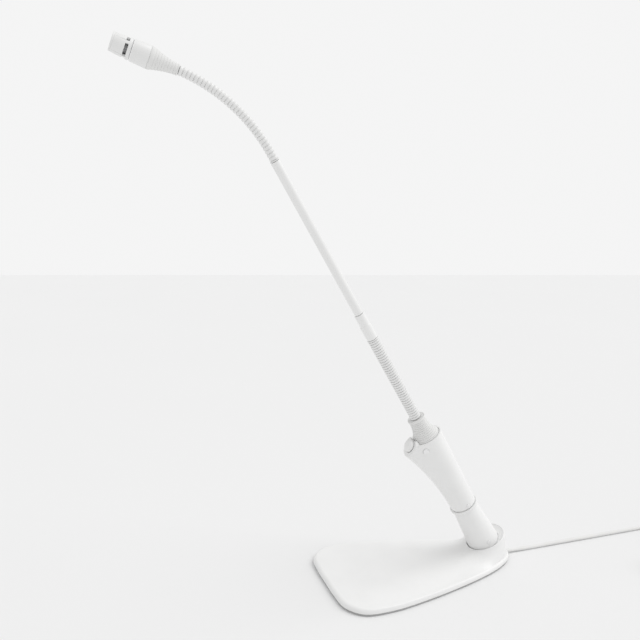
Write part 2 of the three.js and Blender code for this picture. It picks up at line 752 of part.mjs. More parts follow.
function rigidTube() {
  const endRing = ring(4.35, NECK_BORE_R, LOWER_NECK_END + GAP, LOWER_NECK_END + 1.2);
  add(column, "lower_neck_ring", endRing, steel);
  const tubeSocket = lathe([
    [NECK_BORE_R, LOWER_NECK_END + 1.5],
    [4.15, LOWER_NECK_END + 1.5],
    [4.35, TUBE_SOCKET_STEP],
    [3.9, TUBE_SOCKET_STEP + 0.4],
    [3.9, TUBE_SOCKET_END - 0.4],
    [3.5, TUBE_SOCKET_END],
    [NECK_BORE_R, TUBE_SOCKET_END],
  ]);
  add(column, "tube_socket", tubeSocket, whitePaint);
  add(column, "rigid_tube", ring(TUBE_R, 2.3, TUBE_SOCKET_END + GAP, TUBE_END), whitePaint);
  add(column, "tube_ferrule", ring(3.5, NECK_BORE_R, TUBE_END + GAP, UPPER_NECK_START), steel);
}

// ---------------------------------------------------------------- head

function microphoneHead() {
  const bootSteps = 7;
  const bootTipR = 3.7;
  const bootProfile = [[NECK_BORE_R, GAP], [bootTipR, GAP]];
  for (let i = 0; i <= bootSteps; i++) {
    const t = i / bootSteps;
    const r = bootTipR + (HEAD_BOOT_R - bootTipR) * Math.pow(t, 1.6);
    bootProfile.push([r, THREE.MathUtils.lerp(1.2, HEAD_BOOT_END, t)]);
  }
  bootProfile.push([5.6, HEAD_BOOT_END], [NECK_BORE_R, HEAD_BOOT_END - 8]);
  add(head, "head_boot", lathe(bootProfile), paleRubber);

  const housing = lathe([
    [5.9, HEAD_BOOT_END + GAP],
    [HOUSING_R, HEAD_BOOT_END + GAP],
    [SEAM_R, HOUSING_END],
    [5.9, HOUSING_END],
  ]);
  add(head, "preamp_housing", housing, satinWhiteMetal);
  add(head, "preamp_board", block(1, 9.2, 8.8, 0, 0, HEAD_BOOT_END + 3.5), board);

  const cap = lathe([
    [5.4, HOUSING_END + 0.9],
    [SEAM_R - 0.05, HOUSING_END + 0.9],
    [HEAD_FRONT_R, HEAD_END],
    [4.3, HEAD_END],
    [4.3, HEAD_END - 0.8],
    [5, HEAD_END - 0.8],
  ]);
  const slots = [];
  const slotSpacing = (2 * Math.PI) / SLOT_COUNT;
  for (let i = 0; i < SLOT_COUNT; i++) {
    const from = FIRST_BRIDGE + i * slotSpacing + SLOT_BRIDGE / 2;
    const to = from + slotSpacing - SLOT_BRIDGE;
    const slot = new THREE.Shape();
    slot.absarc(0, 0, 9, from, to);
    slot.absarc(0, 0, 3, to, from, true);
    slot.closePath();
    slots.push(plate(slot, SLOT_START, SLOT_END));
  }
  add(head, "capsule_cap", cut(cap, ...slots), satinWhiteMetal);
  add(head, "seam_ring", ring(6.2, 4.6, HOUSING_END + GAP, HOUSING_END + 0.6, 24), gauze);
  add(head, "slot_gauze", ring(4.7, 4.5, HOUSING_END + 1.2, HEAD_END - 5.4, 20), gauze);
  add(head, "front_gauze", rod(4.7, HEAD_END - 1.4, HEAD_END - 1.1, 20), gauze);
  add(head, "capsule", rod(4.1, HOUSING_END + 2.5, HEAD_END - 2.2, 20), steel);
  add(head, "capsule_mount", rod(5.3, HOUSING_END - 2.5, HOUSING_END + 0.2 - GAP, 20), paleRubber);
}

// ---------------------------------------------------------------- cord

function cordTube(points) {
  const curve = new THREE.CatmullRomCurve3(points.map(([x, y, z]) => new THREE.Vector3(x, y, z)));
  const section = new THREE.Shape();
  const sides = 8;
  for (let i = 0; i < sides; i++) {
    const angle = (i * 2 * Math.PI) / sides;
    const x = CORD_R * Math.cos(angle);
    const y = CORD_R * Math.sin(angle);
    if (i === 0) section.moveTo(x, y);
    else section.lineTo(x, y);
  }
  section.closePath();
  const steps = Math.ceil(curve.getLength() / (5 * CORD_R));
  return new THREE.ExtrudeGeometry(section, { steps, extrudePath: curve });
}

const CORD_REST = CORD_R + 0.05;
const cableRoute = [
  [CORD_EXIT.x - GAP, 0, CORD_EXIT.z],
  [-84, 0, 2.1],
  [-93, 0, 1.7],
  [-106, 0, CORD_REST],
  [-140, 0, CORD_REST],
  [-170, 0, CORD_REST],
  [-200, 0, CORD_REST],
  [-238, 0, CORD_REST],
];
const tailRoute = [
  [-274.7, 35.2, 9.2],
  [-274.5, 41, 6.4],
  [-273.2, 48, 3.2],
  [-269.5, 54.5, 1.9],
  [-263.5, 59.3, 2.6],
  [-255.5, 62, 5.8],
  [-244.3, CABLE_PLUG_Y, CABLE_PLUG_Z],
];

function cord() {
  add(microphone, "cable", cordTube(cableRoute), paleCord);
  add(microphone, "cable_tail", cordTube(tailRoute), paleCord);
  const coilOuterR = COIL_MEAN_R + COIL_HALF_WIDTH;
  const coilInnerR = COIL_MEAN_R - COIL_HALF_WIDTH;
  const coil = ring(coilOuterR, coilInnerR, COIL_BOTTOM, COIL_BOTTOM + COIL_HEIGHT, 28);
  add(microphone, "cable_coil", coil.translate(COIL_CENTRE.x, COIL_CENTRE.y, 0), paleCord);

  const boot = lathe([
    [CORD_R + GAP, -12],
    [2.4, -12],
    [4.6, 6],
    [7, 12],
    [CORD_R + GAP, 12],
  ], 20);
  add(cablePlug, "cable_plug_boot", boot, paleRubber);
  const shell = lathe([
    [6, 12.3],
    [8.2, 12.3],
    [PLUG_SHELL_R, 15],
    [PLUG_SHELL_R, 46.6],
    [8.4, 46.6],
    [8.4, 16],
    [6, 14],
  ]);
  add(cablePlug, "cable_plug_shell", shell, satinWhiteMetal);
  add(cablePlug, "cable_plug_insert", pinDisc(8.1, 28, 33), insulator);
  pinPlaces().forEach(([x, y], i) => {
    const pin = rod(PIN_R, 27, 45.1, 10).translate(x, y, 0);
    add(cablePlug, "cable_plug_pin_" + (i + 1), pin, brass);
  });
}

base();
stem();
socket();
neckPlug();
lowerNeck();
rigidTube();
upperNeck();
microphoneHead();
cord();

export default microphone;
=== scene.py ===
import json
import math

import bpy
import numpy as np
from mathutils import Matrix, Vector


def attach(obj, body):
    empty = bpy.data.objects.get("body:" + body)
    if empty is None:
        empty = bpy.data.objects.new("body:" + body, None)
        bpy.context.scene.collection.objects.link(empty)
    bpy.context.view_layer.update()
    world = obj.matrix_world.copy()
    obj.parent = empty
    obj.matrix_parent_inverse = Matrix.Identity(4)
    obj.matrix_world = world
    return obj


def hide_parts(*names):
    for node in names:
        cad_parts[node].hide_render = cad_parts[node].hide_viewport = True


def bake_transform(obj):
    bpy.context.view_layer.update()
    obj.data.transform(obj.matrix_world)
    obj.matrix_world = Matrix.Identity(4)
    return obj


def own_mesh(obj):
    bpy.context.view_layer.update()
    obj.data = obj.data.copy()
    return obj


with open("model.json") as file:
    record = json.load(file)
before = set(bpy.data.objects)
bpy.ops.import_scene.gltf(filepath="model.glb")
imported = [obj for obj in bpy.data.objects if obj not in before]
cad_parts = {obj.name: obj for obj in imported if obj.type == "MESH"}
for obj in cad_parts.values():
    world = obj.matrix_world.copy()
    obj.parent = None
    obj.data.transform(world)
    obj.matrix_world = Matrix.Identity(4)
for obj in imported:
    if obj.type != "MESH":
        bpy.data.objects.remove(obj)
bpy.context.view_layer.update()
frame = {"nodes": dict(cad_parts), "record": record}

scene = bpy.context.scene
MM = 0.001

# ---------------------------------------------------------------- camera and stage

CAMERA_PLACE = (0.23656, 0.46133, 0.280)
CAMERA_PAN = Vector((-0.3173, -0.9483, 0)).normalized()
CAMERA_TILT = math.radians(9.098)
LENS = 39.375


def make_camera():
    data = bpy.data.cameras.new("camera")
    data.sensor_width = 36
    data.lens = LENS
    data.clip_start = 0.01
    data.clip_end = 60
    camera = bpy.data.objects.new("camera", data)
    scene.collection.objects.link(camera)
    camera.location = CAMERA_PLACE
    look = CAMERA_PAN * math.cos(CAMERA_TILT) - Vector((0, 0, math.sin(CAMERA_TILT)))
    camera.rotation_euler = look.to_track_quat("-Z", "Y").to_euler()
    scene.camera = camera


make_camera()

# ---------------------------------------------------------------- places

# The column's own frame: z runs up its leaning axis from where the axis meets the desk.
LEAN = math.radians(30)
FOOT = (-65.6, 0, 0)
NECK_LEAD = 5.0
NECK_LENGTH = 83.3
NECK_TURN = math.radians(39.9)
NECK_BEND_R = (NECK_LENGTH - NECK_LEAD) / NECK_TURN
UPPER_NECK_START = 359.5
ARC_START = UPPER_NECK_START + NECK_LEAD
SHELL_TOP = 125.5
CABLE_PLUG = (-232, 62.6, 9.6)


def frame_at(place, angle):
    """A frame in millimetres, turned about Y."""
    return Matrix.Translation(place) @ Matrix.Rotation(angle, 4, "Y")


WORLD = Matrix.Diagonal((MM, MM, MM, 1))
COLUMN = WORLD @ frame_at(FOOT, LEAN)
HEAD = COLUMN @ frame_at(
    (
        NECK_BEND_R * (1 - math.cos(NECK_TURN)),
        0,
        ARC_START + NECK_BEND_R * math.sin(NECK_TURN),
    ),
    NECK_TURN,
)
IN_LATCH = frame_at((14.75, 0, SHELL_TOP + 0.4), math.radians(35))
LATCH = COLUMN @ IN_LATCH
PLUG = WORLD @ frame_at(CABLE_PLUG, math.pi / 2)


def lerp(a, b, t):
    return a + (b - a) * t


def spread(a, b, count):
    """count values from a to b, both included."""
    return [lerp(a, b, i / (count - 1)) for i in range(count)]


# ---------------------------------------------------------------- materials


class Nodes:
    """A small helper that adds shader nodes and joins them."""

    def __init__(self, name):
        self.material = bpy.data.materials.new(name)
        self.material.use_nodes = True
        self.tree = self.material.node_tree
        self.tree.nodes.clear()
        self.output = self.add("ShaderNodeOutputMaterial")
        self.shader = self.add("ShaderNodeBsdfPrincipled")
        self.join(self.shader, "BSDF", self.output, "Surface")
        self.place = self.add("ShaderNodeTexCoord")

    def add(self, kind, **settings):
        node = self.tree.nodes.new(kind)
        for key, value in settings.items():
            if hasattr(node, key):
                setattr(node, key, value)
            else:
                node.inputs[key].default_value = value
        return node

    def join(self, a, output, b, socket):
        self.tree.links.new(a.outputs[output], b.inputs[socket])

    def noise(self, scale, detail=2.0, stretch=None):
        node = self.add("ShaderNodeTexNoise", Scale=scale, Detail=detail)
        source = self.place
        if stretch:
            source = self.add("ShaderNodeMapping")
            source.inputs["Scale"].default_value = stretch
            self.join(self.place, "Object", source, "Vector")
            self.join(source, "Vector", node, "Vector")
        else:
            self.join(self.place, "Object", node, "Vector")
        return node

    def ramp(self, source, output, low, high, start=0.3, end=0.7):
        node = self.add("ShaderNodeValToRGB")
        for element, position, color in zip(node.color_ramp.elements, (start, end), (low, high)):
            element.position = position
            element.color = (*color, 1)
        self.join(source, output, node, "Fac")
        return node

    def range(self, source, output, low, high):
        node = self.add("ShaderNodeMapRange")
        node.inputs["From Min"].default_value = 0.3
        node.inputs["From Max"].default_value = 0.7
        node.inputs["To Min"].default_value = low
        node.inputs["To Max"].default_value = high
        self.join(source, output, node, "Value")
        return node

    def bump(self, source, output, depth, under=None):
        node = self.add("ShaderNodeBump", Strength=1.0, Distance=depth)
        self.join(source, output, node, "Height")
        if under:
            self.join(under, "Normal", node, "Normal")
        return node


def shade(color, factor):
    return tuple(min(1.0, c * factor) for c in color)


def finish(name, color, roughness, metallic=0.0, grain=900.0, depth=8e-6, mottle=0.02,
           stretch=None, specular=0.5, coat=0.0):
    """A surface with grain in its height, mottled colour and uneven roughness."""
    n = Nodes(name)
    fine = n.noise(grain, 3.0, stretch)
    broad = n.noise(45.0, 4.0)
    colors = n.ramp(broad, "Fac", shade(color, 1 - mottle), shade(color, 1 + mottle / 2))
    n.join(colors, "Color", n.shader, "Base Color")
    uneven = n.range(n.noise(160.0, 3.0), "Fac", roughness - 0.05, roughness + 0.05)
    n.join(uneven, "Result", n.shader, "Roughness")
    wide = n.bump(n.noise(220.0, 2.0), "Fac", depth * 2)
    fine_bump = n.bump(fine, "Fac", depth, wide)
    n.join(fine_bump, "Normal", n.shader, "Normal")
    n.shader.inputs["Metallic"].default_value = metallic
    n.shader.inputs["Specular IOR Level"].default_value = specular
    n.shader.inputs["Coat Weight"].default_value = coat
    n.shader.inputs["Coat Roughness"].default_value = 0.25
    return n


def perforated(name, color, hole_scale):
    """Fine metal gauze: a paler web with small dark cells, which are painted shade for the holes
    seen through it.
    """
    n = finish(name, color, 0.45, 0.6, grain=1500.0)
    cells = n.add("ShaderNodeTexVoronoi", Scale=hole_scale, Randomness=0.25)
    n.join(n.place, "Object", cells, "Vector")
    # the dark cell centres are painted shade standing in for the openings
    web_and_hole_shade = n.ramp(cells, "Distance", shade(color, 0.25), shade(color, 1.4), 0.25, 0.6)
    n.join(web_and_hole_shade, "Color", n.shader, "Base Color")
    n.join(n.bump(cells, "Distance", 6e-5), "Normal", n.shader, "Normal")
    return n


def laminate(name, color):
    """Circuit board: a pale green sheet with darker tracks across it."""
    n = finish(name, color, 0.5, grain=1200.0)
    tracks = n.add("ShaderNodeTexWave", Scale=260.0, Distortion=3.0)
    n.join(n.place, "Object", tracks, "Vector")
    lines = n.ramp(tracks, "Fac", shade(color, 0.6), color, 0.35, 0.5)
    n.join(lines, "Color", n.shader, "Base Color")
    return n


PAINT = (0.86, 0.86, 0.855)
looks = {
    "white_paint": finish("white_paint", PAINT, 0.42, grain=1300.0, depth=1.2e-5, coat=0.15),
    "satin_metal": finish("satin_metal", (0.82, 0.82, 0.815), 0.36, 0.0, grain=2600.0, depth=5e-6),
    "rubber": finish("rubber", (0.78, 0.78, 0.772), 0.68, grain=2200.0, depth=1.6e-5, mottle=0.03,
                     specular=0.3),
    # the foot pad's mid grey is partly its rubber and partly painted shade: its tone darkens the
    # line under the plate's edge, where shade falls
    "foot_rubber": finish("foot_rubber", (0.46, 0.46, 0.46), 0.8, grain=1800.0, depth=3e-5,
                          mottle=0.12, specular=0.2),
    "cord": finish("cord", (0.80, 0.80, 0.79), 0.55, grain=3000.0, depth=1.2e-5, mottle=0.03,
                   specular=0.35),
    "steel": finish("steel", (0.88, 0.88, 0.88), 0.36, 0.4, grain=500.0, depth=4e-6,
                    stretch=(1, 1, 8)),
    "brass": finish("brass", (0.78, 0.70, 0.48), 0.28, 1.0, grain=900.0, depth=3e-6,
                    stretch=(8, 1, 1)),
    "insulator": finish("insulator", (0.72, 0.72, 0.71), 0.55, grain=1500.0, depth=1e-5),
    # the gauze's dark cells are painted shade for its holes
    "gauze": perforated("gauze", (0.28, 0.28, 0.285), 2600.0),
    "board": laminate("board", (0.42, 0.52, 0.45)),
}


def paint_frame():
    """Gives every CAD node the look of its own slot."""
    for part in frame["record"]["subparts"]:
        node = frame["nodes"][part["node"]]
        node.data.materials.clear()
        node.data.materials.append(looks[part["material_slot"]].material)


paint_frame()

# ---------------------------------------------------------------- mesh helpers

SHARP = math.radians(34)


def build(name, vertices, faces, place, slot, body=None, stands_for=()):
    """A mesh piece, given in millimetres in its own frame."""
    turned = np.asarray(vertices, float) @ np.array(place.to_3x3()).T + np.array(place.translation)
    mesh = bpy.data.meshes.new(name)
    mesh.from_pydata(turned.tolist(), [], faces)
    mesh.materials.append(looks[slot].material)
    mesh.validate()
    smooth(mesh)
    piece = bpy.data.objects.new(name, mesh)
    scene.collection.objects.link(piece)
    if stands_for:
        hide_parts(*stands_for)
    if body:
        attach(piece, body)
    return piece


def smooth(mesh):
    mesh.shade_smooth()
    mesh.set_sharp_from_angle(angle=SHARP)


def skin(rings, closed=True):
    """Vertices and faces of a skin over rings of points, with a lid at each end."""
    count = len(rings[0])
    vertices = [tuple(p) for ring in rings for p in ring]
    faces = []
    for level in range(len(rings) - 1):
        low, high = level * count, (level + 1) * count
        for i in range(count):
            j = (i + 1) % count
            faces.append((low + i, low + j, high + j, high + i))
    if closed:
        faces.append(tuple(reversed(range(count))))
        faces.append(tuple(range(len(vertices) - count, len(vertices))))
    return vertices, faces


def rounded(profile, radius, steps=3):
    """The profile with its sharp corners rounded off. Its two ends stay as they are."""
    points = [np.array(p, float) for p in profile]
    result = [points[0]]
    for before, corner, after in zip(points, points[1:], points[2:]):
        back, on = before - corner, after - corner
        reach_back, reach_on = np.linalg.norm(back), np.linalg.norm(on)
        turn = math.acos(np.clip(-(back @ on) / max(reach_back * reach_on, 1e-9), -1, 1))
        if turn < math.radians(20):
            result.append(corner)
            continue
        reach = min(radius, 0.45 * reach_back, 0.45 * reach_on)
        start, end = corner + back / reach_back * reach, corner + on / reach_on * reach
        for t in spread(0, 1, steps + 1):
            result.append((1 - t) ** 2 * start + 2 * t * (1 - t) * corner + t * t * end)
    result.append(points[-1])
    return result


def lathe(profile, segments=64, radius=0.15):
    """A solid of revolution about Z. A profile that leaves the axis closes on itself."""
    on_axis = profile[0][0] == 0
    if not on_axis:
        # start in the middle of a side, so that every corner is rounded
        middle = [(profile[0][k] + profile[1][k]) / 2 for k in (0, 1)]
        profile = [middle, *profile[1:], profile[0], middle]
    path = rounded(profile, radius)
    if not on_axis:
        path = path[:-1]
    turns = [2 * math.pi * i / segments for i in range(segments)]
    vertices, rows, faces = [], [], []
    for r, z in path:
        if r < 1e-6:
            rows.append([len(vertices)])
            vertices.append((0, 0, z))
            continue
        rows.append(list(range(len(vertices), len(vertices) + segments)))
        vertices += [(r * math.cos(a), r * math.sin(a), z) for a in turns]
    pairs = list(zip(rows, rows[1:]))
    if not on_axis:
        pairs.append((rows[-1], rows[0]))
    for low, high in pairs:
        for i in range(segments):
            j = (i + 1) % segments
            if len(low) == 1:
                faces.append((low[0], high[j], high[i]))
            elif len(high) == 1:
                faces.append((low[i], low[j], high[0]))
            else:
                faces.append((low[i], low[j], high[j], high[i]))
    return vertices, faces


def rod(radius, low, high, segments=48):
    return lathe([(0, low), (radius, low), (radius, high), (0, high)], segments, 0.0)


def prism(outline, low, high):
    return skin([[(x, y, low) for x, y in outline], [(x, y, high) for x, y in outline]])


def block(size, centre):
    low, high = ([c + side * s / 2 for c, s in zip(centre, size)] for side in (-1, 1))
    outline = [(low[0], low[1]), (high[0], low[1]), (high[0], high[1]), (low[0], high[1])]
    return prism(outline, low[2], high[2])


def moved(shape, *steps):
    """The shape after each matrix in turn, in millimetres."""
    vertices, faces = shape
    points = np.asarray(vertices, float)
    for step in steps:
        points = points @ np.array(step.to_3x3()).T + np.array(step.translation)
    return points.tolist(), faces


def across(x, z):
    """Turns a solid built along Z to run along Y, at (x, 0, z)."""
    return Matrix.Translation((x, 0, z)) @ Matrix.Rotation(-math.pi / 2, 4, "X")


def combine(piece, place, operation, *tools):
    helpers = []
    for vertices, faces in tools:
        helper = build("tool", vertices, faces, place, "white_paint")
        helpers.append(helper)
        modifier = piece.modifiers.new("join", "BOOLEAN")
        modifier.operation = operation
        modifier.solver = "EXACT"
        modifier.object = helper
    bpy.context.view_layer.update()
    graph = bpy.context.evaluated_depsgraph_get()
    mesh = bpy.data.meshes.new_from_object(piece.evaluated_get(graph))
    piece.modifiers.clear()
    old = piece.data
    piece.data = mesh
    bpy.data.meshes.remove(old)
    smooth(mesh)
    for helper in helpers:
        bpy.data.objects.remove(helper)


def carve(piece, place, *tools):
    """Cuts shapes out of a piece, then shades it again."""
    combine(piece, place, "DIFFERENCE", *tools)


def add_to(piece, place, *tools):
    combine(piece, place, "UNION", *tools)


def soften_edges(piece, width, angle=50):
    modifier = piece.modifiers.new("edges", "BEVEL")
    modifier.width = width * MM
    modifier.segments = 2
    modifier.limit_method = "ANGLE"
    modifier.angle_limit = math.radians(angle)
    modifier.use_clamp_overlap = True
    modifier.harden_normals = False


# ---------------------------------------------------------------- cord

CORD_R = 1.5
CORD_REST = CORD_R + 0.05
CORD_EXIT = (-78.6, 0, 2.3)
CORD_GAP = 0.3
COIL_CENTRE = (-252, 22.6)
COIL_OUTER_R = 22.6
TURN_SPACING = 3.07
COIL_RINGS = 4
STEPS_PER_TURN = 36

cable_route = [
    (CORD_EXIT[0] - CORD_GAP, 0, CORD_EXIT[2]),
    (-84, 0, 2.1),
    (-93, 0, 1.7),
    (-106, 0, CORD_REST),
    (-140, 0, CORD_REST),
    (-170, 0, CORD_REST),
    (-200, 0, CORD_REST),
    (-238, 0, CORD_REST),
]
tail_route = [
    (-274.6, 28.6, 10.6),
    (-274.7, 35.2, 9.2),
    (-274.5, 41, 6.4),
    (-273.2, 48, 3.2),
    (-269.5, 54.5, 1.9),
    (-263.5, 59.3, 2.6),
    (-255.5, 62, 5.8),
    (-244.3, CABLE_PLUG[1], CABLE_PLUG[2]),
]


def ease(t):
    t = min(1.0, max(0.0, t))
    return t * t * (3 - 2 * t)


def coil_turns():
    """How far round the ring and layer change: lists of (turns, ring steps, layer steps).

    A layer has four rings. Between its rings the cord steps sideways over a sixth of a
    turn, and at its end it climbs over another sixth. Each layer steps a third of a turn
    sooner than the one below, so that no two stretches of cord meet.
    """
    sixth = 1 / 6
    changes = []
    layer_start, ring, inward = 0.0, 0, True
    step_at, climb_at = 5 * sixth, 4 * sixth
    for layer in range(COIL_RINGS):
        first = math.floor(layer_start) + step_at
        if first < layer_start:
            first += 1
        for k in range(COIL_RINGS - 1):
            changes.append((first + k, 1 if inward else -1, 0))
        last = first + COIL_RINGS - 1
        climb = last - (step_at - climb_at)
        changes.append((climb, 0, 1))
        layer_start = climb + sixth
        inward = not inward
        step_at = (step_at - 2 * sixth) % 1
        climb_at = step_at - sixth
    return changes


def coil_points():
    changes = coil_turns()[:-1]
    turns = math.floor(changes[-1][0]) + 1.25
    points = []
    for i in range(round(turns * STEPS_PER_TURN) + 1):
        turn = i / STEPS_PER_TURN
        ring = sum(side * ease((turn - at) * 6) for at, side, _ in changes)
        layer = sum(up * ease((turn - at) * 6) for at, _, up in changes)
        r = COIL_OUTER_R - TURN_SPACING * ring
        angle = -math.pi / 2 - 2 * math.pi * turn
        x = COIL_CENTRE[0] + r * math.cos(angle)
        y = COIL_CENTRE[1] + r * math.sin(angle)
        points.append((x, y, CORD_REST + TURN_SPACING * layer))
    return points


def through(points, per_span=6):
    """A smooth line through the points."""
    p = [Vector(q) for q in points]
    p = [2 * p[0] - p[1], *p, 2 * p[-1] - p[-2]]
    line = []
    for a, b, c, d in zip(p, p[1:], p[2:], p[3:]):
        for k in range(per_span):
            t = k / per_span
            line.append(0.5 * (2 * b + (c - a) * t + (2 * a - 5 * b + 4 * c - d) * t**2
                               + (3 * b - a - 3 * c + d) * t**3))
    return [tuple(q) for q in line] + [tuple(p[-2])]


def make_cord():
    coil = coil_points()
    lead_in = through([*cable_route, coil[0]])[:-1]
    tail = through([coil[-1], *tail_route])[1:]
    line = [tuple(c * MM for c in q) for q in [*lead_in, *coil, *tail]]
    curve = bpy.data.curves.new("cable_lead", "CURVE")
    curve.dimensions = "3D"
    curve.bevel_depth = CORD_R * MM
    curve.bevel_resolution = 4
    curve.use_fill_caps = True
    spline = curve.splines.new("POLY")
    spline.points.add(len(line) - 1)
    for point, q in zip(spline.points, line):
        point.co = (*q, 1)
    curve.materials.append(looks["cord"].material)
    piece = bpy.data.objects.new("cable_lead", curve)
    scene.collection.objects.link(piece)
    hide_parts("cable", "cable_tail", "cable_coil")
    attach(piece, "base")
    long = sum(math.dist(a, b) for a, b in zip(line, line[1:]))
    return piece, long


cable, cable_length = make_cord()


def pin_places():
    angles = [math.pi / 2 + i * 2 * math.pi / 3.6 for i in range(3)]
    return [(4.4 * math.cos(a), 4.4 * math.sin(a)) for a in angles]


def make_cable_plug():
    boot = [(1.8, -12), (2.4, -12), (2.7, -10.6)]
    grooves = 7
    for i in range(grooves):
        z = lerp(-10.2, 4.2, i / (grooves - 1))
        r = lerp(2.7, 4.4, (z + 12) / 18)
        boot += [(r + 0.1, z), (r + 0.12, z + 1.1), (r - 0.35, z + 1.35), (r - 0.3, z + 1.95)]
    boot += [(4.6, 6.4), (5.4, 8.4), (7, 10.4), (7, 12), (1.8, 12)]
    boot_piece = build("cable_plug_sleeve_boot", *lathe(boot, 48, 0.2), PLUG, "rubber", "base",
                       ["cable_plug_boot"])
    shell = [
        (6, 12.3), (8.2, 12.3), (9.35, 14.2), (9.4, 18), (9.4, 20.4), (9.15, 20.7), (9.15, 21.5),
        (9.4, 21.8), (9.4, 43.2), (9.1, 43.5), (9.1, 44.3), (9.4, 44.6), (9.4, 46.6), (8.4, 46.6),
        (8.4, 16), (6, 14),
    ]
    shell_piece = build("cable_plug_body", *lathe(shell, 96, 0.3), PLUG, "satin_metal", "base",
                        ["cable_plug_shell"])
    pins = []
    for i, (x, y) in enumerate(pin_places(), 1):
        pin = [(0, 27), (1.2, 27), (1.2, 44), (1.05, 44.7), (0.6, 45.1), (0, 45.1)]
        shape = moved(lathe(pin, 24, 0.3), Matrix.Translation((x, y, 0)))
        pins.append(build(f"cable_pin_{i}", *shape, PLUG, "brass", "base", [f"cable_plug_pin_{i}"]))
    insert = frame["nodes"]["cable_plug_insert"]
    return [boot_piece, shell_piece, *pins, insert]


plug_pieces = make_cable_plug()

# ---------------------------------------------------------------- base

PLATE_TOP = 5
CASTING_BOTTOM = 1.6
PAD_THICKNESS = 1.3
SEAT_X = -57
SEAT_STATION = 20.4
SEAT_FLOOR = 14.2
SEAT_WALL_R = 12.75
SEAT_DISH_STATION = 17.2
AROUND = 240

side_points = [
    (77.9, 18), (75.6, 36), (65.5, 47.6), (46, 49.8),
    (13, 44.5), (-36, 31), (-61, 20.5), (-74, 10.5),
]
mirrored = [(x, -y) for x, y in reversed(side_points)]
outline_points = [np.array(p, float) for p in [(78, 0), *side_points, (-78, 0), *mirrored]]


def outline_at(t):
    """A point of the plate's outline, a centripetal curve through its points."""
    count = len(outline_points)
    at = t * count
    first = math.floor(at)
    u = at - first
    a, b, c, d = (outline_points[(first + k) % count] for k in (-1, 0, 1, 2))
    ab, bc, cd = (math.sqrt(np.linalg.norm(q - p)) for p, q in ((a, b), (b, c), (c, d)))
    leave = ((b - a) / ab - (c - a) / (ab + bc) + (c - b) / bc) * bc
    arrive = ((c - b) / bc - (d - b) / (bc + cd) + (d - c) / cd) * bc
    return (
        b
        + leave * u
        + (-3 * b + 3 * c - 2 * leave - arrive) * u * u
        + (2 * b - 2 * c + leave + arrive) * u**3
    )


def inset_outline(distance, rearmost=-78):
    points = []
    for i in range(AROUND):
        p = outline_at(i / AROUND)
        p = p * (1 - distance / np.linalg.norm(p))
        points.append((max(p[0], rearmost), p[1]))
    return points


def round_column(angle, r, station):
    p = COLUMN @ Vector((r * math.cos(angle), r * math.sin(angle), station))
    return np.array(p) / MM


def seat_point(angle, station, clearance=0.0):
    """A point of the seat's lip, which reaches further out behind the column."""
    front = (1 + math.cos(angle)) / 2
    drop = 2.6 * (1 - front) ** 2
    return round_column(angle, lerp(17.4, 13.1, front) + clearance, station - drop)


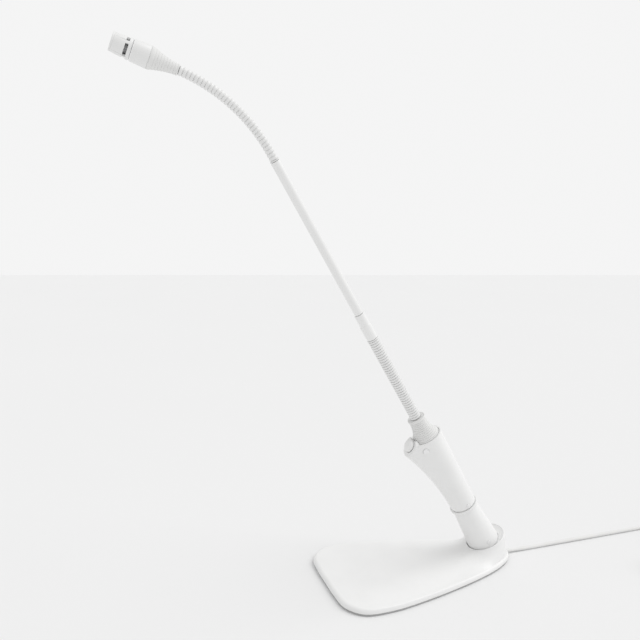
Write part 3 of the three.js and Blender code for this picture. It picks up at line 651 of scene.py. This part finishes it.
def make_base():
    edge = np.array([outline_at(i / AROUND) for i in range(AROUND)])
    ray = edge - np.array([SEAT_X, 0])
    long = np.linalg.norm(ray, axis=1)
    angles = np.arctan2(ray[:, 1], ray[:, 0])
    front = (1 + np.cos(angles)) / 2
    rounding = 1.2 + 1.8 * front

    def ring(distance, height):
        """The edge drawn in towards the seat; distance and height may differ round it."""
        share = (1 - distance / long)[:, None]
        xy = np.array([SEAT_X, 0]) + ray * share
        return np.column_stack([xy, np.broadcast_to(height, len(xy))])

    rings = [ring(0.3, CASTING_BOTTOM), ring(0.12, CASTING_BOTTOM + 0.05)]
    rings += [ring(0.03, CASTING_BOTTOM + 0.15), ring(0.0, CASTING_BOTTOM + 0.3)]
    for share in spread(0, 1, 7):
        turn = share * math.pi / 2
        height = PLATE_TOP - rounding * (1 - math.sin(turn))
        rings.append(ring(rounding * (1 - math.cos(turn)), height))
    shoulder = rings[-1]
    lip = np.array([seat_point(a, SEAT_STATION - 0.3, 1) for a in angles])
    rise = lip[:, 2] - PLATE_TOP
    fall = 0.75 + 5.4 * front**6
    for t in [0.985, *spread(0.96, 0.04, 30), 0.02]:
        row = lip + (shoulder - lip) * t
        row[:, 2] = PLATE_TOP + rise * (1 - t) ** fall
        rings.append(row)
    rim = [(1, -0.3), (0.85, -0.08), (0.6, 0.02), (0.35, 0.02), (0.12, -0.08), (0, -0.3)]
    for clearance, up in rim:
        rings.append([seat_point(a, SEAT_STATION + up, clearance) for a in angles])
    for share in (0.66, 0.33, 0.1, 0.0):
        depth = lerp(SEAT_DISH_STATION, SEAT_STATION, share**1.5)
        wall = [round_column(a, SEAT_WALL_R, depth) for a in angles]
        rings.append([lerp(p, seat_point(a, depth), share) for p, a in zip(wall, angles)])
    rings.append([round_column(a, SEAT_WALL_R - 0.32, SEAT_FLOOR + 0.6) for a in angles])
    rings.append([round_column(a, SEAT_WALL_R - 0.6, SEAT_FLOOR) for a in angles])
    casting = build("base_body", *skin(rings), WORLD, "white_paint", None, ["base_casting"])

    in_column = frame_at(FOOT, LEAN)
    gland_turn = Matrix.Translation((-66.6, 0, CORD_EXIT[2]))
    gland_turn = gland_turn @ Matrix.Rotation(-math.pi / 2, 4, "Y")
    screw = rod(1.6, CASTING_BOTTOM - 1, 7.2, 24)
    tools = [
        prism(inset_outline(7.6, -42.3), CASTING_BOTTOM - 1, CASTING_BOTTOM + 2),
        moved(rod(8.8, -8, 12), in_column),
        moved(rod(5.3, 10, SEAT_FLOOR + 2), in_column),
        moved(rod(2.2, 0, 20, 32), gland_turn),
        moved(screw, Matrix.Translation((-37, 10, 0))),
        moved(screw, Matrix.Translation((-37, -10, 0))),
    ]
    carve(casting, WORLD, *tools)
    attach(casting, "base")

    sections = [(1.1, 0.0), (0.7, 0.12), (0.5, 0.4), (0.5, 1.1), (0.56, 1.25), (0.7, PAD_THICKNESS)]
    pad_rings = [[(x, y, z) for x, y in inset_outline(inset)] for inset, z in sections]
    # the pad's grey look is partly painted shade for the dark line under the plate's edge
    pad = build("foot_pad", *skin(pad_rings), WORLD, "foot_rubber", None, ["base_foot_pad"])
    carve(pad, WORLD, block((24, 4.8, 6), (CORD_EXIT[0], 0, 0)))
    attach(pad, "base")

    gland = [(1.2, 0), (2.1, 0), (2.1, 12), (1.2, 12)]
    build("cable_grommet", *moved(lathe(gland, 40, 0.25), gland_turn), WORLD, "rubber", "base",
          ["cable_gland"])


make_base()

# ---------------------------------------------------------------- column

CONE_BOTTOM = 14.5
CONE_TOP = 54.6
CONE_TOP_R = 9.9
CONE_TAPER = 2.6
CONE_FOOT_R = 12.2
STUD_BORE_R = 5.3
SPIGOT_R = 8.2
SPIGOT_BORE_R = 6.8
SPIGOT_LENGTH = 9
STEM_SCREW_STATION = 22.2
SHELL_BOTTOM = 54.9
SHELL_TOP_R = 12.3
SHELL_TAPER = 2.1
SHELL_SCREW_STATION = 59.5
HUMP_LENGTH = 62
HUMP_REACH = 10.9
HUMP_FALL = 1.95
HUMP_R = 7.6
WELL_FLOOR = -2.2
WELL_R = 5.3
WELL_RIM_R = 7.8
BOSS_DEPTH = 9
BUTTON_R = 5
BUTTON_TIP = -5.7
BUTTON_CROWN = 0.6
BUTTON_SKIRT = 0.0
BUTTON_BASE = 1.0
BUTTON_PROUD = 4.0
PIVOT = (4.9, -8.6)
SIDE_TURN = math.radians(16.5)
SIDE_FACE = 12.15
# finer steps round the front, where the hump is
SHELL_ANGLES = [math.pi * math.copysign(abs(t)**1.25, t) for t in spread(-1, 1, 133)[:-1]]
KEY_DEPTH = 0.2


def screw(name, radius, low, high, key, place, body, node, slot="steel", dome=0.0):
    """A screw with a hexagonal key socket in its head, built along Z."""
    profile = [(0, low), (radius, low), (radius, high - 0.15), (radius - 0.2, high)]
    profile += [(radius * 0.5, high + dome * 0.8), (0, high + dome)]
    hexagon = [(key * math.cos(a), key * math.sin(a)) for a in spread(0, 5 * math.pi / 3, 6)]
    piece = build(name, *moved(lathe(profile, 40, 0.15), place), COLUMN, slot, None, [node])
    carve(piece, COLUMN, moved(prism(hexagon, high - KEY_DEPTH, high + 1), place))
    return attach(piece, body)


def make_stem():
    def cone_r(station):
        return CONE_TOP_R + (CONE_TOP - station) / (CONE_TOP - 20.5) * CONE_TAPER

    spigot_top = CONE_TOP + SPIGOT_LENGTH
    profile = [
        (STUD_BORE_R, CONE_BOTTOM), (CONE_FOOT_R, CONE_BOTTOM), (cone_r(18.5), 18.5),
        (cone_r(CONE_TOP), CONE_TOP), (SPIGOT_R, CONE_TOP), (SPIGOT_R, spigot_top),
        (SPIGOT_BORE_R, spigot_top), (SPIGOT_BORE_R, CONE_BOTTOM + 9),
        (STUD_BORE_R, CONE_BOTTOM + 9),
    ]
    cone = build("stem_sleeve", *lathe(profile, 96, 0.35), COLUMN, "white_paint", None,
                 ["stem_cone"])
    place = across(0, STEM_SCREW_STATION)
    carve(cone, COLUMN, moved(rod(1.7, 5, 14, 32), place))
    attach(cone, "base")
    screw("stem_set_screw", 1.6, 6.2, 12.55, 0.45, place, "base", "stem_grub_screw")


def shell_ring(station, shrink=0.0):
    """One section of the socket shell: a tube with a hump that swells out in front.

    Each point keeps its angle round the column from section to section: on the hump's
    round nose near the front, then along its flat side, then on the tube.
    """
    from_top = SHELL_TOP - station
    r = SHELL_TOP_R - SHELL_TAPER * from_top / (SHELL_TOP - CONE_TOP) - shrink
    swell = max(0.0, 1 - from_top / HUMP_LENGTH)
    nose_r = lerp(r, HUMP_R, swell)
    reach = r + HUMP_REACH * swell**HUMP_FALL - nose_r
    start, tangent = math.pi / 2, math.pi / 2
    if reach > 0.02:
        start = math.acos(max(-1.0, min(1.0, (r - nose_r) / reach)))
        tangent = math.atan2(nose_r * math.sin(start), reach + nose_r * math.cos(start))
    points = []
    for angle in SHELL_ANGLES:
        if abs(angle) >= start:
            out = r
        elif abs(angle) <= tangent:
            out = reach * math.cos(angle) + math.sqrt(nose_r**2 - (reach * math.sin(angle))**2)
        else:
            out = r / math.cos(start - abs(angle))
        points.append((out * math.cos(angle), out * math.sin(angle), station))
    return points


def in_side():
    """Places a solid built along Z on the flat side of the hump, square to it."""
    return Matrix.Rotation(-SIDE_TURN, 4, "Z") @ across(5.3, SHELL_TOP - 5.6)


def make_shell():
    collar = [(0, -0.85), (0.1, -1.1), (0.3, -1.2), (1.4, -1.2), (1.62, -1.1), (1.7, -0.85),
              (1.7, 0.55), (2.15, 0.55), (2.25, 0.12), (2.45, 0)]
    stations = [(SHELL_BOTTOM + up, shrink) for up, shrink in collar]
    stations += [(s, 0) for s in [*spread(57, 70, 7), *spread(71.5, SHELL_TOP, 40)]]
    rings = [shell_ring(s, shrink) for s, shrink in stations]
    shell = build("socket_housing", *skin(rings), COLUMN, "white_paint", None, ["socket_shell"])
    add_to(shell, COLUMN, moved(rod(WELL_RIM_R, -BOSS_DEPTH, 1, 96), IN_LATCH))
    screw_seat = rod(2.45, SIDE_FACE - 1.3, SIDE_FACE + 3, 40)
    screw_hole = rod(1.4, SIDE_FACE - 3.9, SIDE_FACE, 24)
    tools = [
        moved(block((60, 60, 40), (0, 0, 20)), IN_LATCH),
        rod(9.4, SHELL_TOP - 34, SHELL_TOP + 10, 80),
        rod(11.2, SHELL_TOP - 3, SHELL_TOP + 10, 96),
        rod(8.5, SHELL_BOTTOM - 5, SHELL_TOP - 33, 64),
        moved(rod(WELL_R, WELL_FLOOR, 5, 80), IN_LATCH),
        moved(block((8.7, 5, 11), (2.85, 0, -10.9)), IN_LATCH),
        moved(rod(1.6, -BOSS_DEPTH, 0, 24), IN_LATCH),
        moved(rod(1, -4.9, 4.9, 20), across(*PIVOT), IN_LATCH),
        moved(screw_seat, in_side()),
        moved(screw_hole, in_side()),
        moved(rod(1.45, 6, 14, 32), across(0, SHELL_SCREW_STATION)),
    ]
    carve(shell, COLUMN, *tools)
    soften_edges(shell, 0.22)
    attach(shell, "base")
    screw("shell_set_screw", 1.37, 8.6, 10.85, 0.4, across(0, SHELL_SCREW_STATION), "base",
          "shell_lock_screw")

    head = [
        (0, SIDE_FACE - 3.7), (1.1, SIDE_FACE - 3.7), (1.1, SIDE_FACE - 1), (2.3, SIDE_FACE - 1),
        (2.3, SIDE_FACE + 0.2), (1.95, SIDE_FACE + 0.42),
        (1, SIDE_FACE + 0.5), (0, SIDE_FACE + 0.5),
    ]
    build("shell_side_cap_screw", *moved(lathe(head, 48, 0.2), in_side()), COLUMN, "steel",
          "base", ["shell_side_screw"])


def make_button():
    profile = [
        (0, BUTTON_TIP), (0.6, BUTTON_TIP), (1.25, BUTTON_TIP + 0.9), (1.25, BUTTON_CROWN),
        (3.7, BUTTON_CROWN), (3.7, BUTTON_SKIRT), (BUTTON_R, BUTTON_SKIRT),
    ]
    profile += [(BUTTON_R * math.cos(a), lerp(BUTTON_BASE, BUTTON_PROUD, math.sin(a)))
                for a in spread(0, math.pi / 2, 16)[:-1]]
    profile.append((0, BUTTON_PROUD))
    build("release_cap", *lathe(profile, 72, 0.25), LATCH, "white_paint", "release_button",
          ["release_button"])


SPRING_R = 2.6
SPRING_WIRE_R = 0.25
SPRING_TURNS = 2.5
SPRING_STEPS = 60
SPRING_LOW = WELL_FLOOR + 0.6
SPRING_HIGH = 0.05


def make_spring():
    """The coil spring under the button, which flattens it against the well's floor."""
    rings = []
    for t in spread(0, 1, SPRING_STEPS):
        turn = Matrix.Rotation(2 * math.pi * SPRING_TURNS * t, 4, "Z")
        centre = Vector((SPRING_R, 0, lerp(SPRING_LOW, SPRING_HIGH, t)))
        section = [centre + Vector((math.sin(a), 0, math.cos(a))) * SPRING_WIRE_R
                   for a in spread(0, 2 * math.pi, 9)[:-1]]
        rings.append([turn @ p for p in section])
    spring = build("return_spring", *skin(rings), LATCH, "steel", "base", ["button_spring"])
    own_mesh(spring)


make_stem()
make_shell()
make_button()
make_spring()

# ---------------------------------------------------------------- plug-in neck


def make_neck_boot():
    top = SHELL_TOP
    start, end = top - 2.6, 142.7
    flange_r, waist_r, lip_r = 10.8, 6.5, 7.0
    profile = [(4.6, start), (flange_r, start), (flange_r, top + 0.6)]
    low, high = top + 0.9, end - 2.2
    rings = 10
    for i in range(rings):
        for part, sink in ((0.0, 0.4), (0.16, 0.4), (0.24, 0.0), (0.9, 0.0)):
            t = (i + part) / rings
            r = waist_r + (flange_r - 0.4 - waist_r) * (1 - t) ** 2.2
            profile.append((r - sink, lerp(low, high, t)))
    profile += [
        (waist_r - 0.35, high + 0.1), (waist_r - 0.3, high + 0.5),
        (lip_r, high + 0.75), (lip_r, end),
        (lip_r - 0.7, end), (lip_r - 1.0, end - 0.2), (1.7, end - 0.25), (1.7, end - 1.6),
        (4.6, end - 2),
    ]
    build("neck_flare", *lathe(profile, 80, 0.12), COLUMN, "rubber", "neck_plug", ["neck_boot"])


HOSE_BORE_R = 1.7
# share of the pitch, and share of the rib's height there
RIB_SHAPE = [(0.0, 0.0), (0.1, 0.0), (0.17, 0.72), (0.27, 0.95), (0.45, 1.0), (0.65, 1.0),
             (0.83, 0.95), (0.93, 0.72), (1.0, 0.0)]


def hose_section(name, radius, depth, ribs, whole, low, high, curve, nodes):
    """A stretch of ribbed hose from low to high, out of ribs that fill the whole hose."""
    pitch = (whole[1] - whole[0]) / ribs
    parts, heights = zip(*RIB_SHAPE)

    def height(z):
        return float(np.interp(((z - whole[0]) / pitch) % 1.0, parts, heights))

    stations = [low, high]
    for k in range(ribs):
        stations += [whole[0] + (k + part) * pitch for part in parts[:-1]]
    stations = [z for z in sorted(stations) if low <= z <= high]
    stations = [z for z, before in zip(stations, [-1.0, *stations]) if z - before > 0.02 * pitch]
    if stations[-1] < high:
        stations[-1] = high
    profile = [(radius - depth * (1 - height(z)), z) for z in stations]
    if low == whole[0]:
        profile.insert(0, (HOSE_BORE_R, low))
    if high == whole[1]:
        profile.append((HOSE_BORE_R, high))
    turns = [2 * math.pi * i / 32 for i in range(32)]
    rings = [[curve(r * math.cos(a), r * math.sin(a), z) for a in turns] for r, z in profile]
    piece = build(name, *skin(rings, closed=False), COLUMN, "satin_metal", None, nodes)
    margin = 0.06 * (high - low)
    start, end = (COLUMN @ Vector(curve(0, 0, z)) for z in (low + margin, high - margin))
    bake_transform(piece)


def straight(x, y, z):
    return x, y, z


def bent(x, y, z):
    """The upper neck's line: a short straight lead, then an arc in the column's plane."""
    past = z - NECK_LEAD
    angle = max(0.0, past) / NECK_BEND_R
    reach = NECK_BEND_R - x
    return (
        NECK_BEND_R - reach * math.cos(angle),
        y,
        ARC_START + reach * math.sin(angle) + min(0.0, past),
    )


def make_hose(name, radius, depth, ribs, whole, curve, chain):
    """One section for each joint of the chain, from mid-piece to mid-piece."""
    joints = len(chain) - 1
    step = (whole[1] - whole[0]) / joints
    for i in range(joints):
        low, high = whole[0] + i * step, whole[0] + (i + 1) * step
        if i == joints - 1:
            high = whole[1]
        nodes = [f"{name}_{i + 1}", f"{name}_{i + 2}"]
        hose_section(f"{name}_section_{i + 1}", radius, depth, ribs, whole, low, high, curve,
                     nodes)


LOWER_NECK = (143.0, 214.0)


def make_arm():
    make_hose("lower_neck", 4.25, 1.0, 36, LOWER_NECK, straight,
              ["neck_plug", "lower_link_2", "lower_link_3", "arm"])
    make_hose("upper_neck", 3.15, 0.8, 32, (0.0, NECK_LENGTH), bent,
              ["arm", *[f"upper_link_{i}" for i in range(2, 6)], "head"])
    end_ring = [(1.7, 214.3), (4.35, 214.3), (4.35, 215.2), (1.7, 215.2)]
    build("neck_end_ring", *lathe(end_ring, 64, 0.2), COLUMN, "satin_metal", "arm",
          ["lower_neck_ring"])
    socket = [
        (1.7, 215.5), (4.15, 215.5), (4.35, 227), (3.9, 227.3), (3.9, 236.1), (3.45, 236.5),
        (1.7, 236.5),
    ]
    build("tube_sleeve", *lathe(socket, 64, 0.25), COLUMN, "white_paint", "arm", ["tube_socket"])
    tube = [(2.3, 236.8), (3.3, 236.8)] + [(3.3, z) for z in spread(250, 345, 8)]
    tube += [(3.3, 358.5), (2.3, 358.5)]
    build("arm_tube", *lathe(tube, 64, 0.2), COLUMN, "white_paint", "arm", ["rigid_tube"])
    ferrule = [(1.7, 358.8), (3.5, 358.8), (3.5, 359.5), (1.7, 359.5)]
    build("tube_end_ring", *lathe(ferrule, 64, 0.18), COLUMN, "satin_metal", "arm",
          ["tube_ferrule"])


make_neck_boot()
make_arm()

# ---------------------------------------------------------------- head

HEAD_BOOT_END = 18.8
HOUSING_END = 29.7
HEAD_END = 42.8
HEAD_BOOT_R = 7.2
HOUSING_R = 7.35
SEAM_R = 6.9
HEAD_FRONT_R = 5.9
SLOTS = (32.4, 34.4)


def make_head():
    tip_r = 3.7
    profile = [(1.7, 0.3), (tip_r, 0.3), (tip_r, 1.1)]
    rings = 9
    for i in range(rings):
        for part, sink in ((0.0, 0.26), (0.12, 0.26), (0.24, 0.0), (0.88, 0.0)):
            t = (i + part) / rings
            r = tip_r + (HEAD_BOOT_R - tip_r) * t**1.6
            profile.append((r - sink, lerp(1.3, HEAD_BOOT_END - 1.0, t)))
    profile += [
        (HEAD_BOOT_R, HEAD_BOOT_END - 0.9), (HEAD_BOOT_R, HEAD_BOOT_END + 0.22),
        (5.6, HEAD_BOOT_END + 0.22), (1.7, HEAD_BOOT_END - 8),
    ]
    build("head_flare", *lathe(profile, 72, 0.05), HEAD, "rubber", "head", ["head_boot"])

    housing = [
        (5.9, HEAD_BOOT_END + 0.3), (HOUSING_R, HEAD_BOOT_END + 0.3), (SEAM_R, HOUSING_END),
        (5.9, HOUSING_END),
    ]
    build("head_housing", *lathe(housing, 80, 0.06), HEAD, "satin_metal", "head",
          ["preamp_housing"])

    low = HOUSING_END + 0.9
    seam_r = SEAM_R - 0.05

    def cap_r(z):
        return lerp(seam_r, HEAD_FRONT_R, (z - low) / (HEAD_END - low))

    groove = HEAD_END - 1.1
    cap = [
        (5.4, low), (seam_r, low), (cap_r(groove - 0.18), groove - 0.18),
        (cap_r(groove) - 0.22, groove - 0.12), (cap_r(groove) - 0.22, groove + 0.12),
        (cap_r(groove + 0.18), groove + 0.18), (HEAD_FRONT_R, HEAD_END), (4.3, HEAD_END),
        (4.3, HEAD_END - 0.8), (5, HEAD_END - 0.8),
    ]
    piece = build("capsule_grille", *lathe(cap, 96, 0.2), HEAD, "satin_metal", None,
                  ["capsule_cap"])
    bridge = math.radians(17)
    slots = []
    for i in range(4):
        start = math.radians(18) + i * math.pi / 2 + bridge / 2
        angles = spread(start, start + math.pi / 2 - bridge, 14)
        outline = [(9 * math.cos(a), 9 * math.sin(a)) for a in angles]
        outline += [(3 * math.cos(a), 3 * math.sin(a)) for a in reversed(angles)]
        slots.append(prism(outline, *SLOTS))
    carve(piece, HEAD, *slots)
    soften_edges(piece, 0.08, 60)
    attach(piece, "head")

    seam = [(4.6, HOUSING_END + 0.3), (6.2, HOUSING_END + 0.3), (6.2, HOUSING_END + 0.6),
            (4.6, HOUSING_END + 0.6)]
    build("seam_gasket", *lathe(seam, 64, 0.08), HEAD, "gauze", "head", ["seam_ring"])
    liner = [(4.5, HOUSING_END + 1.2), (4.7, HOUSING_END + 1.2), (4.7, HEAD_END - 5.4),
             (4.5, HEAD_END - 5.4)]
    build("slot_mesh", *lathe(liner, 64, 0.05), HEAD, "gauze", "head", ["slot_gauze"])
    front = HEAD_END - 1.4
    disc = [(0, front), (4.7, front), (4.7, front + 0.25)]
    disc += [(r, front + 0.3 + 0.35 * (1 - (r / 4.7) ** 2)) for r in spread(4.2, 0, 8)]
    build("front_mesh", *lathe(disc, 64, 0.05), HEAD, "gauze", "head", ["front_gauze"])


make_head()

# ---------------------------------------------------------------- floor and light

FLOOR_AHEAD = 2.951
FLOOR_HALF = 9.0


def make_stage():
    """A pale floor whose far edge lies straight across the camera's view."""
    side = Vector((CAMERA_PAN.y, -CAMERA_PAN.x, 0)) * FLOOR_HALF
    far = Vector((CAMERA_PLACE[0], CAMERA_PLACE[1], 0)) + CAMERA_PAN * FLOOR_AHEAD
    near = far - CAMERA_PAN * FLOOR_HALF
    mesh = bpy.data.meshes.new("floor")
    mesh.from_pydata([near - side, near + side, far + side, far - side], [], [(0, 3, 2, 1)])
    floor = bpy.data.objects.new("floor", mesh)
    scene.collection.objects.link(floor)
    n = Nodes("floor")
    n.shader.inputs["Roughness"].default_value = 0.9
    n.shader.inputs["Specular IOR Level"].default_value = 0.1
    plain = n.ramp(n.noise(3.0), "Fac", (0.828,) * 3, (0.832,) * 3)
    n.join(plain, "Color", n.shader, "Base Color")
    mesh.materials.append(n.material)


BACKDROP_STRENGTH = 0.91
SKY_STRENGTH = 0.77
SUN_STRENGTH = 1.15
SUN_WIDTH = math.radians(50)
SUN_FROM = Vector((-0.8, 0.15, 1.0))


def make_light():
    world = bpy.data.worlds.new("soft_sky")
    world.use_nodes = True
    background = world.node_tree.nodes["Background"]
    background.inputs["Color"].default_value = (1, 1, 1, 1)
    # the backdrop that is seen is a little brighter than the sky that lights the scene
    tree = world.node_tree
    path = tree.nodes.new("ShaderNodeLightPath")
    strength = tree.nodes.new("ShaderNodeMapRange")
    strength.inputs["To Min"].default_value = SKY_STRENGTH
    strength.inputs["To Max"].default_value = BACKDROP_STRENGTH
    tree.links.new(path.outputs["Is Camera Ray"], strength.inputs["Value"])
    tree.links.new(strength.outputs["Result"], background.inputs["Strength"])
    scene.world = world
    data = bpy.data.lights.new("soft_sun", "SUN")
    data.energy = SUN_STRENGTH
    data.angle = SUN_WIDTH
    sun = bpy.data.objects.new("soft_sun", data)
    sun.rotation_euler = SUN_FROM.to_track_quat("Z", "Y").to_euler()
    scene.collection.objects.link(sun)
    scene.view_settings.view_transform = "Standard"
    scene.view_settings.look = "None"


make_stage()
make_light()
